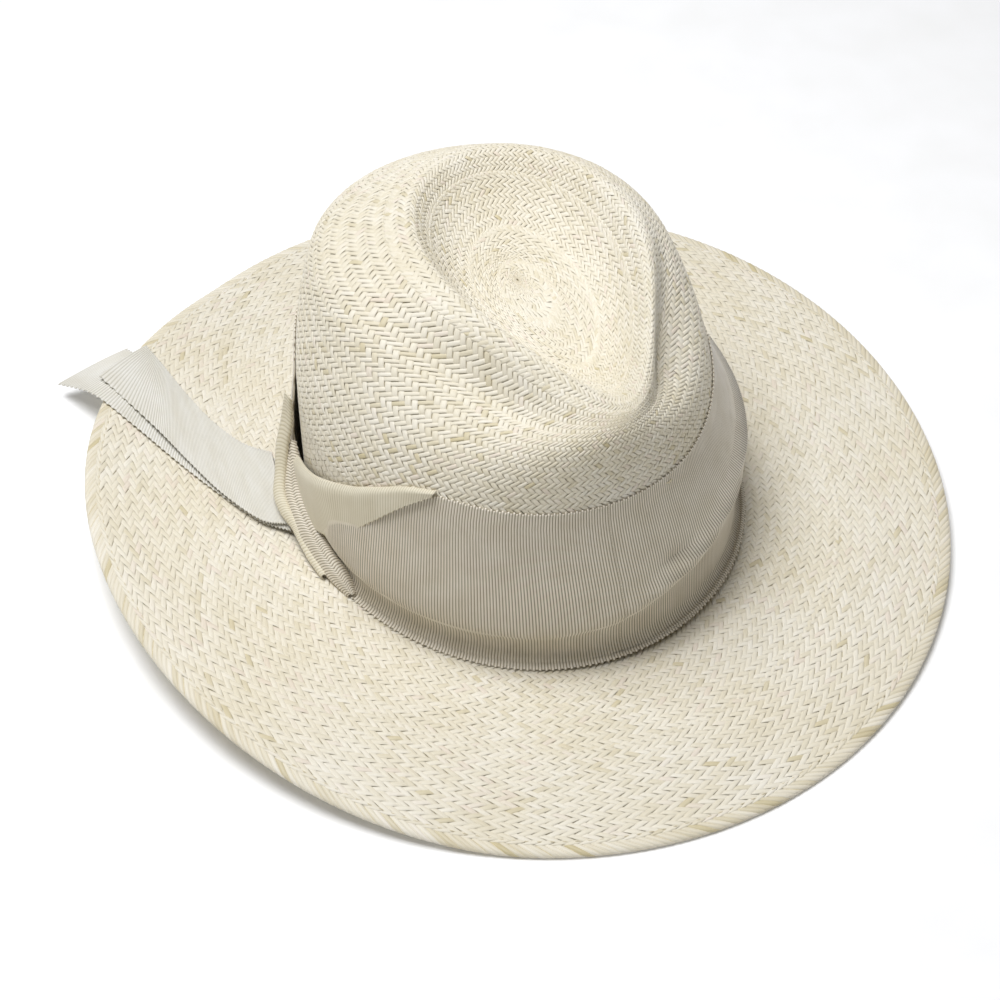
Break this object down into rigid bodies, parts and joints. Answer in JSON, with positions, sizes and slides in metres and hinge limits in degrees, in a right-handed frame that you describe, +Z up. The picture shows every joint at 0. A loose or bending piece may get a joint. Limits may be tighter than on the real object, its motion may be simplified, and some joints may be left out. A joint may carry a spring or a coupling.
{
  "type": "panama hat",
  "caption": "Wide-brimmed woven straw hat with a teardrop crown, a wide ribbon band knotted at one side with two loose tails, and an inner sweatband.",
  "frame": {"origin": "middle of the head opening, on the plane that the brim rests on", "axes": "+Z up through the crown; the front of the hat faces -Y; +X is the wearer's left"},
  "size_m": [0.344, 0.373, 0.1203],
  "materials": {
    "straw": "woven toquilla straw, bleached ivory, slightly glossy",
    "grosgrain": "ribbed grosgrain ribbon, pale greige",
    "tail_ribbon": "ribbed ribbon, off-white",
    "thread": "cotton sewing thread, straw coloured",
    "sweatband_cotton": "ribbed cotton sweatband, cream"
  },
  "bodies": {
    "root": {"straw_body": "straw", "brim_stitch": "thread", "sweatband": "sweatband_cotton", "sweatband_reed": "sweatband_cotton", "sweatband_stitch": "thread", "sweatband_bow": "grosgrain", "size_tab": "tail_ribbon", "ribbon_band": "grosgrain", "ribbon_fold": "grosgrain", "knot_strap": "grosgrain", "knot_loop": "grosgrain", "band_tack_1": "thread", "band_tack_2": "thread", "band_tack_3": "thread", "band_tack_4": "thread", "band_tack_5": "thread"},
    "lower_tail": {"tail_lower": "tail_ribbon"},
    "upper_tail": {"tail_upper": "tail_ribbon"}
  },
  "joints": [
    {"name": "lower_tail_lift", "type": "hinge", "parent": "root", "child": "lower_tail", "pos_m": [-0.0905, 0.022, 0.015], "axis": [0.1799, 0.9837, 0], "range_deg": [0, 45]},
    {"name": "upper_tail_lift", "type": "hinge", "parent": "lower_tail", "child": "upper_tail", "pos_m": [-0.0905, 0.022, 0.015], "axis": [0.1799, 0.9837, 0], "range_deg": [0, 40]}
  ]
}
